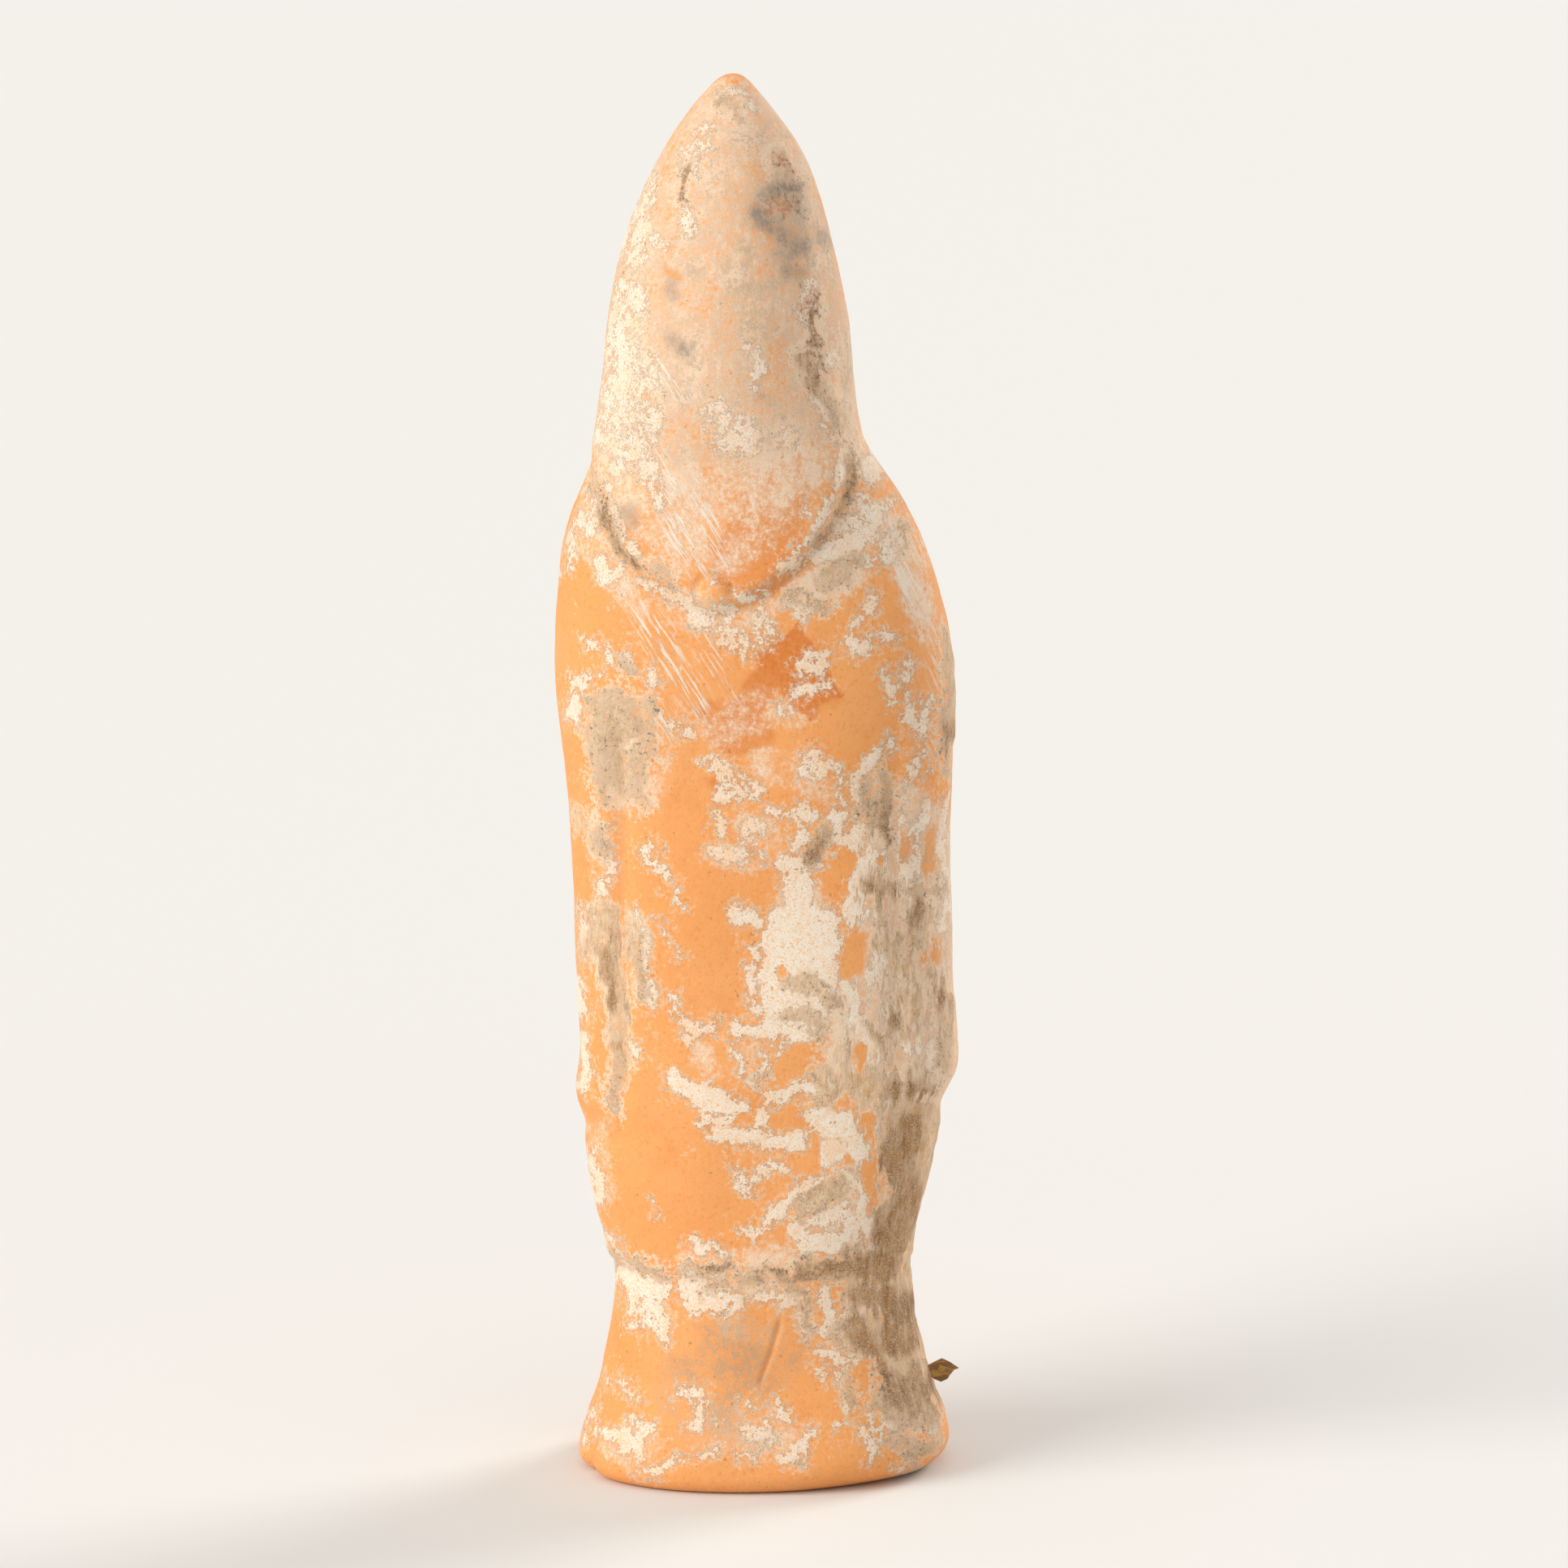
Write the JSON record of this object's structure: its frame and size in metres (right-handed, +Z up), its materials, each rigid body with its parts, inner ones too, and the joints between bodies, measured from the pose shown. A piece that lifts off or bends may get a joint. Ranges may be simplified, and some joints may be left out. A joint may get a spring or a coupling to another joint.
{
  "type": "terracotta hooded figure",
  "caption": "Standing terracotta figure in a tall pointed hood and a long sleeved gown, moulded in one piece on a flared foot.",
  "frame": {"origin": "on the ground, under the middle of the figure's bounding box", "axes": "+Z up, the figure faces -Y, +X is towards its own left hand"},
  "size_m": [0.0744, 0.0554, 0.26],
  "materials": {
    "terracotta": "unglazed matt fired clay"
  },
  "bodies": {
    "root": {"figure": "terracotta"}
  },
  "joints": []
}
